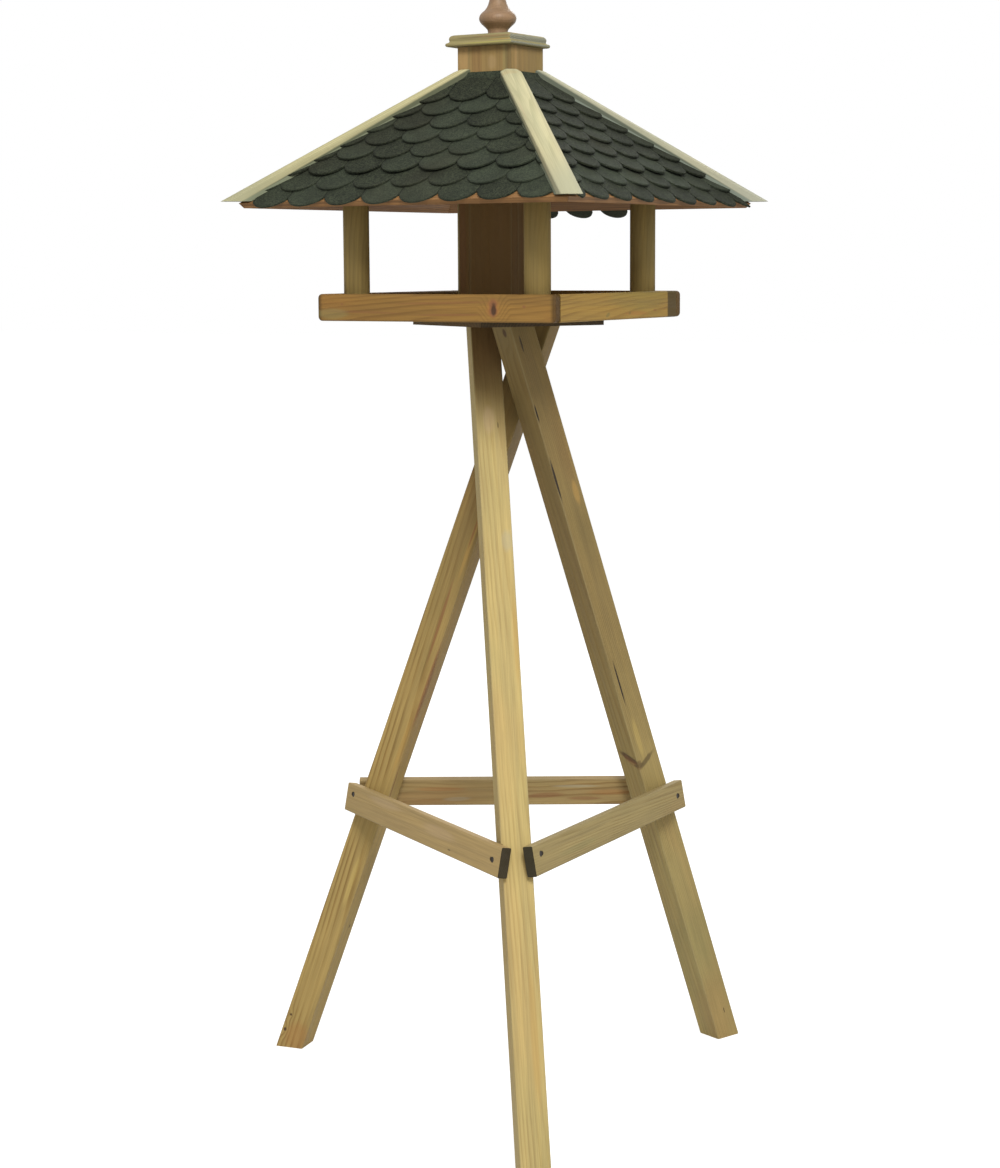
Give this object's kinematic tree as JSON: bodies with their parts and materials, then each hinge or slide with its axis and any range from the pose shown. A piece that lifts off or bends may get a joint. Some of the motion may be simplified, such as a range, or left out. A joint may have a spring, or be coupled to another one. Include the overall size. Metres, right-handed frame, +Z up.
{
  "type": "bird table",
  "caption": "Wooden bird table: a square feeding tray with a central seed silo under a shingled pyramid roof, on a twisted tripod stand with tie rails.",
  "frame": {"origin": "on the ground under the middle of the table's outline", "axes": "+Z up; -Y and +X are the roof's front and right eaves, so -Y +X points to the roof's near hip"},
  "size_m": [0.7376, 0.776, 1.7027],
  "materials": {
    "stand_pine": "planed, pressure-treated softwood, weathered to a light olive tan, with grain and knots",
    "tray_pine": "planed softwood, orange brown, with grain, a knot and darker end grain",
    "post_pine": "turned softwood poles, olive brown, with upright grain",
    "silo_pine": "planed softwood boards, tan, with upright grain",
    "roof_board": "sawn softwood boards, reddish brown",
    "batten_pine": "planed softwood, pale greenish cream, with fine grain",
    "turned_pine": "turned softwood, reddish brown, smooth",
    "dark_pine": "sawn softwood, dark brown in the tray's shade",
    "bitumen_shingle": "bitumen felt shingles faced with dark green mineral granules, matt",
    "screw_steel": "darkened countersunk wood screws"
  },
  "bodies": {
    "table": {"leg_front": "stand_pine", "leg_right": "stand_pine", "leg_left": "stand_pine", "leg_screw_front": "screw_steel", "leg_screw_right": "screw_steel", "leg_screw_left": "screw_steel", "rail_right": "stand_pine", "rail_back": "stand_pine", "rail_left": "stand_pine", "rail_right_screw_1": "screw_steel", "rail_right_screw_2": "screw_steel", "rail_back_screw_1": "screw_steel", "rail_back_screw_2": "screw_steel", "rail_left_screw_1": "screw_steel", "rail_left_screw_2": "screw_steel", "mounting_plate": "dark_pine", "plate_screw_1": "screw_steel", "plate_screw_2": "screw_steel", "plate_screw_3": "screw_steel", "plate_screw_4": "screw_steel", "tray_floor": "tray_pine", "rim_front": "tray_pine", "rim_right": "tray_pine", "rim_back": "tray_pine", "rim_left": "tray_pine", "post_front_right": "post_pine", "post_back_right": "post_pine", "post_back_left": "post_pine", "post_front_left": "post_pine", "post_screw_front_right": "screw_steel", "post_screw_back_right": "screw_steel", "post_screw_back_left": "screw_steel", "post_screw_front_left": "screw_steel", "silo_board_front": "silo_pine", "silo_board_right": "silo_pine", "silo_board_back": "silo_pine", "silo_board_left": "silo_pine", "roof_panel_front": "roof_board", "roof_panel_right": "roof_board", "roof_panel_back": "roof_board", "roof_panel_left": "roof_board", "shingles_front": "bitumen_shingle", "shingles_right": "bitumen_shingle", "shingles_back": "bitumen_shingle", "shingles_left": "bitumen_shingle", "hip_batten_front_right": "batten_pine", "hip_batten_back_right": "batten_pine", "hip_batten_back_left": "batten_pine", "hip_batten_front_left": "batten_pine"},
    "lid": {"lid": "tray_pine", "lid_plug": "stand_pine", "finial": "turned_pine", "finial_screw": "screw_steel"}
  },
  "joints": [
    {"name": "lid_lift", "type": "slide", "parent": "table", "child": "lid", "axis": [0, 0, 1], "range_m": [0, 0.12]}
  ]
}
